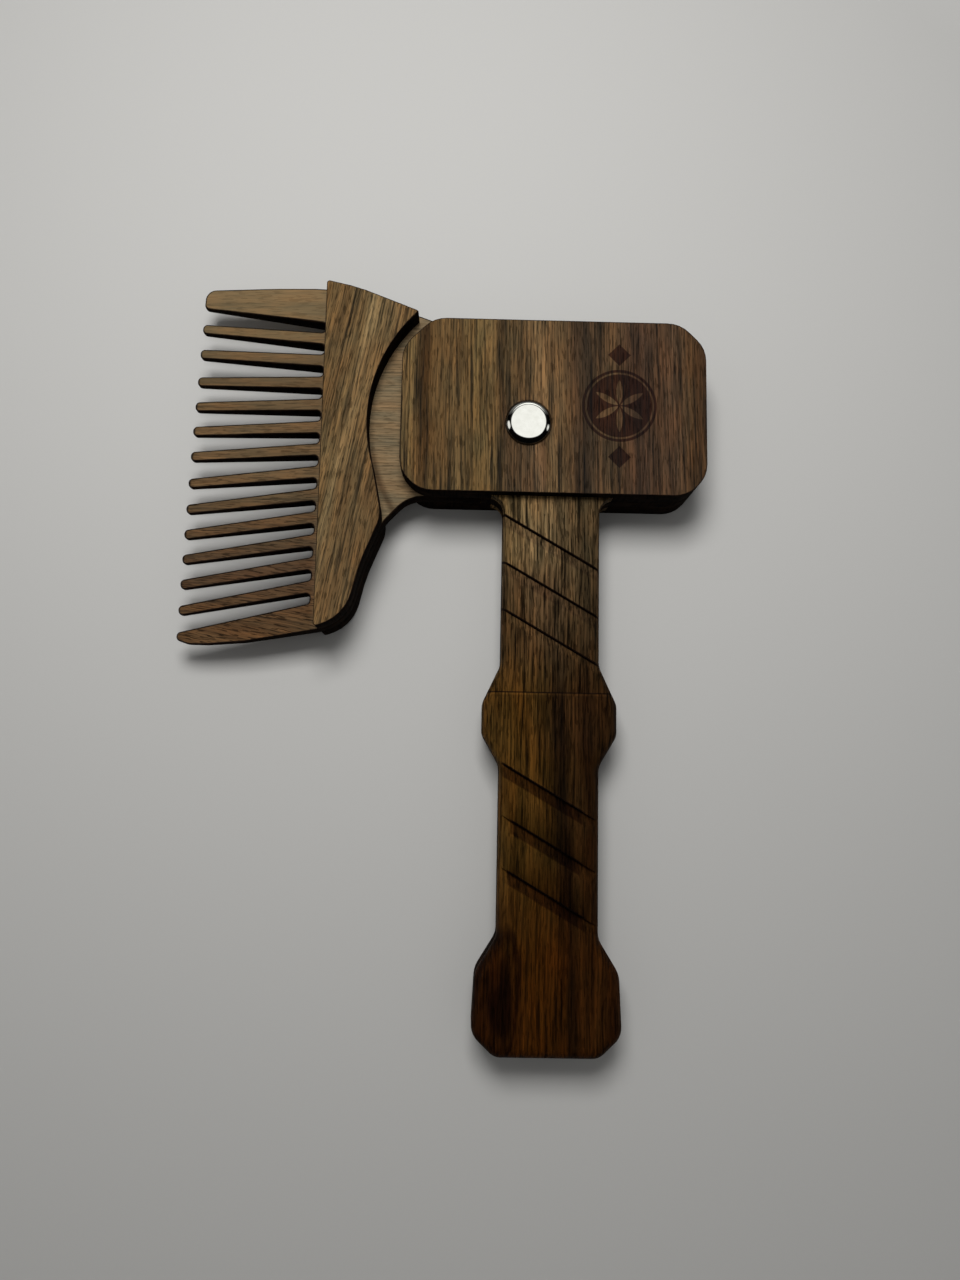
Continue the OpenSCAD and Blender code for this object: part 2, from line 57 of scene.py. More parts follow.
# %% [markdown]
# ## Camera
# A photograph taken by hand from above shows the point straight below the lens where all
# upright lines would meet. With that point, the focal length and one known place on the
# object, here the stud, the camera's turn and place follow. Fitting them by eye would take
# longer and would never quite line up.

# %% Work out the camera from the photograph
picture_w = 960
picture_h = 1280
focal_px = 961.0
below_lens_px = (465.0, 765.0)
stud_px = (528.7, 421.6)
stud_height = 14.6 * mm
lens_height = 194.44 * mm
picture_roll = math.radians(1.1)
sensor_long = 36.0


def sight_line(px):
    """The direction of a pixel, with x right, y down and z into the picture."""
    return Vector((
        (px[0] - picture_w / 2) / focal_px,
        (px[1] - picture_h / 2) / focal_px,
        1.0,
    )).normalized()


down = sight_line(below_lens_px)
level_x = (Vector((1, 0, 0)) - down.x * down).normalized()
level_y = down.cross(level_x)
object_x = math.cos(picture_roll) * level_x + math.sin(picture_roll) * level_y
object_y = math.sin(picture_roll) * level_x - math.cos(picture_roll) * level_y
stud_ray = sight_line(stud_px)
stud_depth = (lens_height - stud_height) / stud_ray.dot(down)
to_stud = stud_ray * stud_depth
lens_place = Vector((
    pivot.x - to_stud.dot(object_x),
    pivot.y - to_stud.dot(object_y),
    lens_height,
))
right, lower, ahead = (Vector((object_x[i], object_y[i], -down[i])) for i in range(3))
turn = Matrix((right, -lower, -ahead)).transposed().to_4x4()

camera_data = bpy.data.cameras.new("camera")
camera_data.sensor_width = sensor_long
camera_data.lens = sensor_long * focal_px / picture_h
camera_data.clip_start = 5 * mm
camera = bpy.data.objects.new("camera", camera_data)
bpy.context.scene.collection.objects.link(camera)
camera.matrix_world = Matrix.Translation(lens_place) @ turn
bpy.context.scene.camera = camera
print("lens", round(camera_data.lens, 2), "mm at", [round(v / mm, 1) for v in lens_place], "mm")

# %% [markdown]
# ## Small helpers for node trees
# Every finish below is a graph of shader nodes. Short helpers keep those graphs readable:
# one places a node, some join values, maps and places, and one turns a colour as a screen
# shows it into the linear values that Blender computes with.


# %% Helpers for colours and nodes
def screen_colour(red, green, blue):
    """A colour in screen values from 0 to 255, as linear values."""
    linear = []
    for value in (red, green, blue):
        share = value / 255
        linear.append(share / 12.92 if share < 0.04045 else ((share + 0.055) / 1.055) ** 2.4)
    return (*linear, 1.0)


def put(tree, kind, inputs=None, **settings):
    """Places a node in a tree, with its settings, and fills or links its inputs."""
    made = tree.nodes.new(kind)
    for name, value in settings.items():
        setattr(made, name, value)
    for key, value in (inputs or {}).items():
        if isinstance(value, bpy.types.NodeSocket):
            tree.links.new(value, made.inputs[key])
        else:
            made.inputs[key].default_value = value
    return made


def sums(tree, operation, first, second=0.0, third=0.0):
    """One Math node, and its result."""
    made = put(tree, "ShaderNodeMath", {0: first, 1: second, 2: third}, operation=operation)
    return made.outputs[0]


def stretch(tree, value, low, high, new_low=0.0, new_high=1.0, smooth=False):
    """Maps a range of values to another one, held at its ends."""
    kind = "SMOOTHSTEP" if smooth else "LINEAR"
    made = put(
        tree, "ShaderNodeMapRange",
        {"Value": value, "From Min": low, "From Max": high, "To Min": new_low, "To Max": new_high},
        interpolation_type=kind,
    )
    return made.outputs["Result"]


def mixed(tree, share, first, second, blend="MIX"):
    """Two colours mixed by a share."""
    made = put(
        tree, "ShaderNodeMix", {0: share, 6: first, 7: second},
        data_type="RGBA", blend_type=blend,
    )
    return made.outputs[2]


def noise(tree, place, detail, roughness=0.5):
    """A soft random value at a place, near 0.5 on average."""
    made = put(
        tree, "ShaderNodeTexNoise",
        {"Vector": place, "Scale": 1.0, "Detail": detail, "Roughness": roughness},
    )
    return made.outputs["Fac"]


def product(tree, first, second):
    """Two values multiplied."""
    return sums(tree, "MULTIPLY", first, second)


def between(tree, value, low, high, soft):
    """One between two limits, fading at both."""
    above = stretch(tree, value, low, low + soft)
    below = stretch(tree, value, high, high - soft)
    return product(tree, above, below)


def parts_of(tree, place):
    """The x, y and z of a place."""
    return put(tree, "ShaderNodeSeparateXYZ", {0: place}).outputs


def stretched_place(tree, place, marks, shift):
    """A place in a pattern, from a place in millimetres and its marks in a millimetre."""
    x, y, z = (
        sums(tree, "MULTIPLY_ADD", value, count, shift) for value, count in zip(place, marks)
    )
    return put(tree, "ShaderNodeCombineXYZ", {0: x, 1: y, 2: z}).outputs[0]


def scaled_object_place(tree, x, y, z):
    """A place on the object, with its axes scaled."""
    place = put(tree, "ShaderNodeTexCoord").outputs["Object"]
    scaled = put(tree, "ShaderNodeMapping", {"Vector": place, "Scale": (x, y, z)})
    return scaled.outputs[0]


def new_material(name):
    """An empty node material and its tree."""
    material = bpy.data.materials.new(name)
    material.use_nodes = True
    material.node_tree.nodes.clear()
    return material, material.node_tree


print("helpers ready")

# %% [markdown]
# ## Walnut grain
# Walnut is a ring porous wood. Seen from the side of a board it has soft bands of colour a
# few millimetres wide, thin lines within them, and open pores: dark dashes a tenth of a
# millimetre wide and one or two long, all along the grain. An image would show this too,
# but a node group made of stretched noise has no seams, runs right through the board and
# can be tuned for each piece. Positions go in as metres and are used as millimetres. Each
# pattern is set by its marks in a millimetre, across the grain, along it and into the board.


# %% Build the grain group
def new_group(name, inputs, outputs):
    """An empty shader group with named sockets."""
    group = bpy.data.node_groups.new(name, "ShaderNodeTree")
    for label, kind, value in inputs:
        socket = group.interface.new_socket(name=label, in_out="INPUT", socket_type=kind)
        if value is not None:
            socket.default_value = value
    for label, kind in outputs:
        group.interface.new_socket(name=label, in_out="OUTPUT", socket_type=kind)
    start = group.nodes.new("NodeGroupInput")
    end = group.nodes.new("NodeGroupOutput")
    return group, start.outputs, end.inputs


FLOAT = "NodeSocketFloat"
COLOUR = "NodeSocketColor"
VECTOR = "NodeSocketVector"
drift_marks = (0.045, 0.018, 0.05)
waver_marks = (0.5, 0.09, 0.3)
waver_reach = 0.35
streak_marks = (0.6, 0.015, 0.25)
streak_range = (0.36, 0.64)
mottle_marks = (0.4, 0.1, 0.3)
soft_range = (0.34, 0.66)
fewest_pores_level = 0.64
pore_amount_share = -0.2
pore_softness = 0.04
pore_sink = -0.8

grain, given, result = new_group(
    "walnut_grain",
    [
        ("Place", VECTOR, None),
        ("Wander", FLOAT, 2.0),
        ("Lean", FLOAT, 0.0),
        ("Line Width", FLOAT, 0.5),
        ("Line Length", FLOAT, 9.0),
        ("Pore Width", FLOAT, 0.2),
        ("Pore Length", FLOAT, 2.2),
        ("Pore Amount", FLOAT, 0.5),
        ("Shift", FLOAT, 0.0),
    ],
    [
        ("Across", FLOAT),
        ("Along", FLOAT),
        ("Streaks", FLOAT),
        ("Fibres", FLOAT),
        ("Pores", FLOAT),
        ("Mottle", FLOAT),
        ("Height", FLOAT),
    ],
)
in_mm = put(
    grain, "ShaderNodeVectorMath", {0: given["Place"], "Scale": 1 / mm}, operation="SCALE"
)
straight, along, deep = parts_of(grain, in_mm.outputs[0])
shift = given["Shift"]


def wander_of(marks, detail):
    """A random push across the grain, between minus and plus one half."""
    place = stretched_place(grain, (straight, along, deep), marks, shift)
    return sums(grain, "SUBTRACT", noise(grain, place, detail), 0.5)


def pattern(marks, detail, roughness=0.5):
    """Noise on the grain's own bent axes."""
    place = stretched_place(grain, (across, along, deep), marks, shift)
    return noise(grain, place, detail, roughness)


across = sums(grain, "MULTIPLY_ADD", along, given["Lean"], straight)
across = sums(grain, "MULTIPLY_ADD", wander_of(drift_marks, 2.0), given["Wander"], across)
across = sums(grain, "MULTIPLY_ADD", wander_of(waver_marks, 1.0), waver_reach, across)
streaks = stretch(grain, pattern(streak_marks, 5.0, 0.85), *streak_range)
line_marks = [sums(grain, "DIVIDE", 1.0, given[side]) for side in ("Line Width", "Line Length")]
fibres = stretch(grain, pattern((*line_marks, 1.0), 3.0, 0.6), *soft_range)
pore_marks = [sums(grain, "DIVIDE", 0.5, given[side]) for side in ("Pore Width", "Pore Length")]
pore_edge = sums(
    grain, "MULTIPLY_ADD", given["Pore Amount"], pore_amount_share, fewest_pores_level
)
pore_full = sums(grain, "ADD", pore_edge, pore_softness)
pores = stretch(
    grain, pattern((*pore_marks, 1.0), 1.0, 0.45), pore_edge, pore_full, smooth=True
)
mottle = stretch(grain, pattern(mottle_marks, 2.0), *soft_range)
relief = sums(grain, "MULTIPLY_ADD", pores, pore_sink, fibres)
for label, value in {
    "Across": across, "Along": along, "Streaks": streaks, "Fibres": fibres,
    "Pores": pores, "Mottle": mottle, "Height": relief,
}.items():
    grain.links.new(value, result[label])
print("grain group:", len(grain.nodes), "nodes")

# %% [markdown]
# ## Oil finish and laser scorch
# Oil deepens the colour, and the pores stay darker because the oil pools in them. The laser
# that cuts the boards chars every wall it leaves, nearly black, and browns the face for a
# few tenths of a millimetre beside the cut. Both effects are on all the boards, so they are
# one group: colour and masks go in, the finished colour and its roughness come out. The
# mask char is painted on each piece's own vertices further down.

# %% Build the finish group
finish, given, result = new_group(
    "oiled_and_scorched",
    [
        ("Colour", COLOUR, (0.1, 0.06, 0.03, 1.0)),
        ("Streaks", FLOAT, 0.5),
        ("Fibres", FLOAT, 0.5),
        ("Pores", FLOAT, 0.0),
        ("Mottle", FLOAT, 0.5),
        ("Streak Depth", FLOAT, 0.4),
        ("Fibre Depth", FLOAT, 0.6),
        ("Pore Depth", FLOAT, 0.6),
        ("Mottle Depth", FLOAT, 0.25),
        ("Level", FLOAT, 1.15),
        ("Char", FLOAT, 0.0),
        ("Burn", FLOAT, 0.0),
    ],
    [("Colour", COLOUR), ("Roughness", FLOAT)],
)
darkest_light = 0.12
mottle_hue_share = 0.7
cool_tint = (0.9, 1.01, 1.09, 1.0)
warm_tint = (1.1, 0.99, 0.9, 1.0)
oiled_roughness = 0.5
pore_roughness = 0.75
char_extra_roughness = 0.15


def grey(tree, level):
    """A grey of this level, to multiply a colour by."""
    return put(tree, "ShaderNodeCombineColor", {0: level, 1: level, 2: level}).outputs[0]


def lighter(light, mask, depth):
    """Adds a mask about one half to a light level."""
    return sums(finish, "MULTIPLY_ADD", sums(finish, "SUBTRACT", mask, 0.5), depth, light)


light = lighter(given["Level"], given["Streaks"], given["Streak Depth"])
light = lighter(light, given["Fibres"], given["Fibre Depth"])
light = lighter(light, given["Mottle"], given["Mottle Depth"])
pore_dark = product(finish, given["Pores"], given["Pore Depth"])
light = product(finish, light, sums(finish, "SUBTRACT", 1.0, pore_dark))
light = sums(finish, "MAXIMUM", light, darkest_light)
wood = mixed(finish, 1.0, given["Colour"], grey(finish, light), "MULTIPLY")
hue = product(finish, given["Mottle"], mottle_hue_share)
hue = sums(finish, "MULTIPLY_ADD", given["Fibres"], 1 - mottle_hue_share, hue)
wood = mixed(finish, 1.0, wood, mixed(finish, hue, cool_tint, warm_tint), "MULTIPLY")
burnt = mixed(finish, 1.0, wood, screen_colour(140, 112, 106), "MULTIPLY")
wood = mixed(finish, given["Burn"], wood, burnt)
coal = mixed(finish, given["Fibres"], screen_colour(7, 4, 3), screen_colour(24, 15, 9))
wood = mixed(finish, given["Char"], wood, coal)
finish.links.new(wood, result["Colour"])
dull = stretch(finish, given["Pores"], 0.0, 1.0, oiled_roughness, pore_roughness)
dull = sums(finish, "MULTIPLY_ADD", given["Char"], char_extra_roughness, dull)
finish.links.new(dull, result["Roughness"])
print("finish group:", len(finish.nodes), "nodes")

# %% [markdown]
# The cut walls have a material of their own. A laser leaves them matt and nearly black, with
# fine upright ribs from its pulses, and lighter where the smoke was blown clean.

# %% Scorched edge
ribs_per_mm = 3.2
rib_waves_per_mm = 0.2
rib_height = 0.03 * mm
smoke_per_mm = 0.25
scorched_edge, tree = new_material("scorched_edge")
ribs = noise(tree, scaled_object_place(
    tree, ribs_per_mm / mm, ribs_per_mm / mm, rib_waves_per_mm / mm
), 2.0)
smoke = noise(tree, scaled_object_place(
    tree, smoke_per_mm / mm, smoke_per_mm / mm, 2 * smoke_per_mm / mm
), 2.0)
burnt = mixed(
    tree, stretch(tree, ribs, 0.35, 0.65), screen_colour(5, 3, 2), screen_colour(24, 15, 9)
)
burnt = mixed(tree, stretch(tree, smoke, 0.5, 0.7), burnt, screen_colour(30, 20, 12))
bump = put(tree, "ShaderNodeBump", {"Height": ribs, "Distance": rib_height, "Strength": 0.5})
shader = put(tree, "ShaderNodeBsdfPrincipled", {
    "Base Color": burnt, "Roughness": 0.95, "Specular IOR Level": 0.02,
    "Normal": bump.outputs[0],
})
put(tree, "ShaderNodeOutputMaterial", {"Surface": shader.outputs[0]})
print("scorched edge:", len(tree.nodes), "nodes")

# %% [markdown]
# ## Softened copies of the boards
# A CAD board has knife sharp edges, which catch no light and look computed. The real ones
# are sanded a little. Each board is copied, its loose triangles are merged into whole faces,
# and the edges between face and wall are bevelled by a tenth of a millimetre. The face is
# then inset, which leaves a narrow rim next to the cut for the scorch to fade out on. An
# attribute on the vertices, char, holds one on the walls and zero inside the rim.


# %% Helpers that copy and soften a board
same_place = 0.001 * mm
same_face_angle = math.radians(0.5)
smallest_level_face = 1 * mm * mm
level_normal = 0.98
wall_normal = 0.75


def whole_faces(node):
    """A bmesh copy of a CAD part, merged into its real faces."""
    bm = bmesh.new()
    bm.from_mesh(nodes[node].data)
    bmesh.ops.remove_doubles(bm, verts=bm.verts, dist=same_place)
    bmesh.ops.dissolve_limit(bm, angle_limit=same_face_angle, verts=bm.verts, edges=bm.edges)
    return bm


def rounded(bm, edges, offset, segments, clamp):
    """Rounds these edges."""
    bmesh.ops.bevel(
        bm, geom=edges, offset=offset, offset_type="OFFSET", segments=segments, profile=0.5,
        affect="EDGES", material=-1, clamp_overlap=clamp,
    )


def sharp_edges(bm, least):
    """The edges that fold outwards by more than this angle."""
    return [
        edge for edge in bm.edges
        if len(edge.link_faces) == 2 and edge.is_convex and edge.calc_face_angle() > least
    ]


def finished_piece(bm, name, node, body, materials, crease=38):
    """Makes the mesh an object that stands for its CAD part."""
    mesh = bpy.data.meshes.new(name)
    bm.to_mesh(mesh)
    bm.free()
    mesh.shade_smooth()
    mesh.set_sharp_from_angle(angle=math.radians(crease))
    for material in materials:
        mesh.materials.append(material)
    piece = bpy.data.objects.new(name, mesh)
    bpy.context.scene.collection.objects.link(piece)
    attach(piece, body)
    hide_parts(node)
    print(name, "has", len(mesh.polygons), "faces")


def is_level(face):
    """Whether a face looks straight up or straight down."""
    return abs(face.normal.z) > level_normal


def is_brink(edge):
    """Whether an edge folds outwards from a level face to a wall."""
    level_sides = sum(is_level(face) for face in edge.link_faces)
    return edge.is_convex and level_sides == 1


def soft_board(name, node, body, material, bevel=0.1 * mm, rim=0.2 * mm):
    """A flat board with sanded edges, charred walls and a scorched rim."""
    bm = whole_faces(node)
    rounded(bm, [edge for edge in bm.edges if is_brink(edge)], bevel, segments=3, clamp=False)
    level = [
        face for face in bm.faces if is_level(face) and face.calc_area() > smallest_level_face
    ]
    bmesh.ops.inset_region(
        bm, faces=level, thickness=rim, use_even_offset=True, use_boundary=True
    )
    char = bm.verts.layers.float.new("char")
    inner = {vert for face in level for vert in face.verts}
    for vert in bm.verts:
        vert[char] = 0.0 if vert in inner else 1.0
    for face in bm.faces:
        face.material_index = int(abs(face.normal.z) < wall_normal)
    finished_piece(bm, name, node, body, (material, scorched_edge))


print("board helpers ready")

# %% [markdown]
# ## The wood of each board
# The boards were cut from different planks, so each has its own bands of colour. A colour
# ramp laid across the grain gives these bands: its stops are places in millimetres from the
# stud, with the colour there. The grain group bends the ramp a little, so no band runs
# dead straight, and the finish group adds streaks, pores and scorch.


# %% Helpers for wood materials
def bands(tree, across, stops):
    """A colour ramp across the grain, from stops given in millimetres."""
    first, last = stops[0][0], stops[-1][0]
    share = stretch(tree, across, first, last)
    ramp = put(tree, "ShaderNodeValToRGB", {0: share})
    points = ramp.color_ramp.elements
    for place, colour in stops[1:-1]:
        points.new((place - first) / (last - first)).color = screen_colour(*colour)
    points[0].color = screen_colour(*stops[0][1])
    points[-1].color = screen_colour(*stops[-1][1])
    return ramp.outputs[0]


def start_wood(name, centre, turned=0.0, **settings):
    """A new material with the grain group fed from a place and a direction on the object."""
    material, tree = new_material(name)
    place = put(tree, "ShaderNodeTexCoord").outputs["Object"]
    placed = put(tree, "ShaderNodeMapping", {"Vector": place, "Location": -centre}).outputs[0]
    if turned:
        placed = put(
            tree, "ShaderNodeMapping", {"Vector": placed, "Rotation": (0, 0, turned)}
        ).outputs[0]
    figure = put(tree, "ShaderNodeGroup", node_tree=grain)
    tree.links.new(placed, figure.inputs["Place"])
    for label, value in settings.items():
        figure.inputs[label.replace("_", " ").title()].default_value = value
    return material, tree, figure.outputs, placed


def figure_node(tree):
    """The grain group's node in a material."""
    return next(made for made in tree.nodes if getattr(made, "node_tree", None) == grain)


def patch(tree, figure, left, right, low, high, soft_side, soft_end):
    """One inside a soft edged stretch of the board, from its limits in millimetres."""
    aside = between(tree, figure["Across"], left, right, soft_side)
    return product(tree, aside, between(tree, figure["Along"], low, high, soft_end))


def shaded(tree, colour, mask, red, green, blue):
    """A colour multiplied by another one where the mask is one."""
    darker = mixed(tree, 1.0, colour, (red, green, blue, 1.0), "MULTIPLY")
    return mixed(tree, mask, colour, darker)


grain_relief = 0.04 * mm
char_raggedness = (-0.25, 0.1)
char_edge = (0.45, 0.95)


def end_wood(tree, figure, colour, burn=None, extra_char_and_shade=None, sheen=0.15, **depths):
    """Finishes a wood: oil, pores and scorch, a fine relief, and a dull satin shine."""
    char = put(tree, "ShaderNodeAttribute", attribute_name="char").outputs["Fac"]
    ragged = stretch(tree, figure["Fibres"], 0.0, 1.0, *char_raggedness)
    edge = stretch(tree, sums(tree, "ADD", char, ragged), *char_edge, smooth=True)
    if extra_char_and_shade is not None:
        edge = sums(tree, "MAXIMUM", edge, extra_char_and_shade)
    coat = put(tree, "ShaderNodeGroup", node_tree=finish)
    links = {"Colour": colour, "Char": edge}
    for label in ("Streaks", "Fibres", "Pores", "Mottle"):
        links[label] = figure[label]
    if burn is not None:
        links["Burn"] = burn
    for label, value in links.items():
        tree.links.new(value, coat.inputs[label])
    for label, value in depths.items():
        coat.inputs[label.replace("_", " ").title()].default_value = value
    bump = put(
        tree, "ShaderNodeBump",
        {"Height": figure["Height"], "Distance": grain_relief, "Strength": 0.6},
    )
    shader = put(tree, "ShaderNodeBsdfPrincipled", {
        "Base Color": coat.outputs["Colour"], "Roughness": coat.outputs["Roughness"],
        "Normal": bump.outputs[0], "Specular IOR Level": sheen,
    })
    put(tree, "ShaderNodeOutputMaterial", {"Surface": shader.outputs[0]})
    return coat


print("wood helpers ready")

# %% [markdown]
# ## The ornament
# A burnt ornament stands right of the stud. It is a rosette of six petals left pale in a
# burnt disc, one of the oldest patterns of folk carving, with a lozenge above and below. An
# image or a carved mesh could make it too. It is drawn here as circles about six points, so
# a handful of Math nodes is enough: where three of the six circles overlap, there is a petal.


# %% The ornament as a mask
def length_of(tree, x, y):
    """The length of a line that goes so far aside and so far up."""
    return sums(tree, "SQRT", sums(tree, "MULTIPLY_ADD", y, y, product(tree, x, x)))


def off_by(tree, value, wanted):
    """How far a value is from the wanted one, on either side."""
    return sums(tree, "ABSOLUTE", sums(tree, "SUBTRACT", value, wanted))


def ornament(tree, placed, centre_x, centre_y, petal, disc, gem, soft=0.1):
    """One where the ornament is burnt: a disc round pale petals, a lozenge above and below."""
    petals_in_rosette = 6
    petal_pinch = 0.06
    line_half_width = 0.22
    line_soft_from = 0.14
    gem_gap = 0.7
    place_x, place_y, _ = parts_of(tree, placed)
    x = sums(tree, "MULTIPLY_ADD", place_x, 1 / mm, -centre_x)
    y = sums(tree, "MULTIPLY_ADD", place_y, 1 / mm, -centre_y)
    cover = 0.0
    for i in range(petals_in_rosette):
        angle = math.tau * (i + 0.5) / petals_in_rosette
        away = length_of(
            tree,
            sums(tree, "SUBTRACT", x, petal * math.cos(angle)),
            sums(tree, "SUBTRACT", y, petal * math.sin(angle)),
        )
        inside = stretch(tree, away, petal - petal_pinch, petal - petal_pinch - soft)
        cover = sums(tree, "ADD", inside, cover)
    middle = length_of(tree, x, y)
    three_circles = stretch(tree, cover, 2.2, 2.8)
    petals = product(tree, three_circles, stretch(tree, middle, petal, petal - soft))
    off_line = off_by(tree, middle, (petal + disc) / 2 + soft)
    line = stretch(tree, off_line, line_half_width, line_soft_from)
    pale = sums(tree, "MAXIMUM", petals, line)
    burnt_disc = stretch(tree, middle, disc, disc - soft)
    burnt_disc = product(tree, burnt_disc, sums(tree, "SUBTRACT", 1.0, pale))
    up = off_by(tree, sums(tree, "ABSOLUTE", y), disc + gem / 2 + gem_gap)
    aside = sums(tree, "ABSOLUTE", x)
    slant = sums(tree, "DIVIDE", sums(tree, "ADD", aside, up), gem / 2)
    return sums(tree, "MAXIMUM", burnt_disc, stretch(tree, slant, 1.0, 0.95))


print("ornament ready")

# %% [markdown]
# ## The head
# The front board of the head has the boldest figure: olive brown on the left with one dark
# streak near the edge, orange brown beside it, golden round the stud, and then a slate
# streak and redder wood to the right. Two soft patches darken the streak and the wood below
# the stud, because a band alone runs from edge to edge.

# %% Front board of the head
head_bands = [
    (-26, (88, 69, 44)),
    (-23, (93, 74, 45)),
    (-21.8, (80, 61, 36)),
    (-20, (59, 43, 23)),
    (-18.6, (80, 61, 36)),
    (-14, (86, 67, 41)),
    (-9.8, (87, 69, 41)),
    (-7.8, (94, 74, 45)),
    (-5.6, (69, 53, 32)),
    (-3.4, (71, 55, 34)),
    (-0.5, (74, 57, 36)),
    (1.4, (100, 78, 51)),
    (5, (94, 73, 48)),
    (7.2, (77, 59, 38)),
    (9, (63, 46, 30)),
    (11.5, (45, 34, 23)),
    (13, (65, 50, 34)),
    (16.5, (73, 55, 36)),
    (20, (64, 46, 32)),
    (22.4, (57, 41, 29)),
    (25, (64, 46, 31)),
    (28.5, (70, 51, 35)),
    (32, (67, 48, 29)),
    (35, (62, 43, 26)),
]
head_grain = {
    "pore_amount": 0.42, "pore_width": 0.13, "pore_length": 1.3,
    "line_width": 0.42, "line_length": 18.0,
}
head_depths = {"streak_depth": 0.8, "fibre_depth": 1.45, "pore_depth": 0.45, "level": 0.96}
head_front_wood, tree, figure, placed = start_wood(
    "head_front_wood", pivot, lean=0.02, wander=1.6, shift=3.1, **head_grain
)
colour = bands(tree, figure["Across"], head_bands)
smear = patch(
    tree, figure, left=-21.9, right=-18.4, low=-14.0, high=26.0, soft_side=1.2, soft_end=14.0
)
colour = shaded(tree, colour, smear, 0.62, 0.57, 0.5)
below_stud = patch(
    tree, figure, left=-5.4, right=3.3, low=-26.0, high=7.0, soft_side=0.3, soft_end=5.0
)
colour = shaded(tree, colour, below_stud, 0.88, 0.85, 0.94)
burn = ornament(tree, placed, centre_x=17.8, centre_y=3.9, petal=5.6, disc=7.4, gem=4.6)
upwards = parts_of(tree, put(tree, "ShaderNodeNewGeometry").outputs["Normal"])[2]
burn = product(tree, burn, sums(tree, "GREATER_THAN", upwards, 0.9))
end_wood(tree, figure, colour, burn=burn, **head_depths)
soft_board("head_front", "head_cheek_front", "handle", head_front_wood)

# %% [markdown]
# The back board of the head was cut from the same plank and has no ornament, so it takes
# the same bands with another stretch of the grain.

# %% Back board of the head
head_back_wood, tree, figure, _ = start_wood(
    "head_back_wood", pivot, lean=-0.02, wander=4.0, shift=17.4, **head_grain
)
end_wood(tree, figure, bands(tree, figure["Across"], head_bands), **head_depths)
soft_board("head_back", "head_cheek_back", "handle", head_back_wood)

# %% [markdown]
# ## The blade
# The two boards of the blade are the lightest wood of the piece, brown with one golden
# stripe that leans across it. The lean input of the grain group tilts all its marks.

# %% Boards of the blade
blade_bands = [
    (-45, (89, 69, 42)),
    (-41.5, (83, 64, 39)),
    (-38.5, (89, 70, 44)),
    (-36.8, (88, 70, 44)),
    (-35.4, (106, 86, 57)),
    (-33.8, (91, 72, 46)),
    (-31, (87, 68, 43)),
    (-27, (86, 66, 41)),
    (-22, (87, 66, 41)),
]
stripe_lean = -0.175
blade_pieces = [
    ("blade_front", "blade_cheek_front", 5.2),
    ("blade_back", "blade_cheek_back", 9.7),
]
for name, node, shift in blade_pieces:
    blade_wood, tree, figure, _ = start_wood(
        name + "_wood", pivot, lean=stripe_lean, wander=1.4, shift=shift, pore_amount=0.4,
        pore_width=0.13, pore_length=1.2, line_width=0.42, line_length=16.0,
    )
    end_wood(
        tree, figure, bands(tree, figure["Across"], blade_bands), streak_depth=0.5,
        fibre_depth=1.5, pore_depth=0.5, mottle_depth=0.1, level=1.1,
    )
    soft_board(name, node, "comb", blade_wood)

# %% [markdown]
# ## The comb board
# This board has its grain along the teeth, because teeth cut across the grain would snap.
# It is the same grain group turned by a quarter turn. The wood is finer and greyer at the
# neck, light at the top teeth and dark at the lowest ones, where the grain also leans. There
# is a dark arc about the stud on the neck. The tips of the slim teeth are darkened to the
# colour of a charred wall. The edges are sanded rounder than those of the other boards, as
# teeth must not scratch.

# %% Comb board
comb_bands = [
    (-45, (87, 62, 38)),
    (-38, (77, 56, 35)),
    (-30, (72, 53, 36)),
    (-22, (80, 61, 41)),
    (-12, (86, 68, 46)),
    (-4, (92, 73, 50)),
    (4, (90, 71, 48)),
    (12, (87, 69, 47)),
    (20, (98, 80, 55)),
    (29, (109, 90, 63)),
]
tip_lean = math.radians(1.55)
tip_reach = 66.85
slim_teeth_top = 20.5
neck_edge = (-42.0, -38.0)
dark_arc_radius = 31.2
low_teeth = (-12.0, -40.0)
low_teeth_lean = -0.2
fine_to_coarse = (14.0, -36.0)
comb_wood, tree, figure, placed = start_wood(
    "comb_wood", pivot, turned=math.radians(-90), wander=1.0, shift=21.0,
    line_width=0.4, line_length=14.0, pore_amount=0.4, pore_width=0.13, pore_length=1.2,
)
turned_x, turned_y, _ = parts_of(tree, placed)
inwards = product(tree, turned_y, -1 / mm)
rise = product(tree, turned_x, 1 / mm)
lean = stretch(tree, rise, *low_teeth, 0.0, low_teeth_lean)
tree.links.new(lean, figure_node(tree).inputs["Lean"])
colour = bands(tree, rise, comb_bands)
neck = stretch(tree, inwards, *neck_edge)
colour = mixed(tree, neck, colour, screen_colour(110, 93, 69))
dark_arc = stretch(tree, off_by(tree, length_of(tree, rise, inwards), dark_arc_radius), 1.1, 0.2)
dark_arc = product(tree, dark_arc, stretch(tree, rise, 0.0, -8.0))
colour = shaded(tree, colour, dark_arc, 0.5, 0.46, 0.44)
tip_line = sums(tree, "MULTIPLY_ADD", rise, math.tan(tip_lean), -tip_reach)
tips = stretch(tree, sums(tree, "SUBTRACT", inwards, tip_line), 0.55, 0.15)
tips = product(tree, tips, stretch(tree, rise, slim_teeth_top, slim_teeth_top - 1.0))
coat = end_wood(
    tree, figure, colour, extra_char_and_shade=tips, streak_depth=0.25, mottle_depth=0.15, level=1.08
)
coarse = stretch(tree, rise, *fine_to_coarse, 0.25, 1.0)
coarse = sums(tree, "MAXIMUM", coarse, product(tree, neck, 0.75))
tree.links.new(coarse, coat.inputs["Fibre Depth"])
pore_share = stretch(tree, neck, 0.0, 1.0, 0.7, 0.35)
tree.links.new(product(tree, coarse, pore_share), coat.inputs["Pore Depth"])
soft_board(
    "comb_board", "comb_plate", "comb", comb_wood, bevel=0.26 * mm, rim=0.12 * mm
)
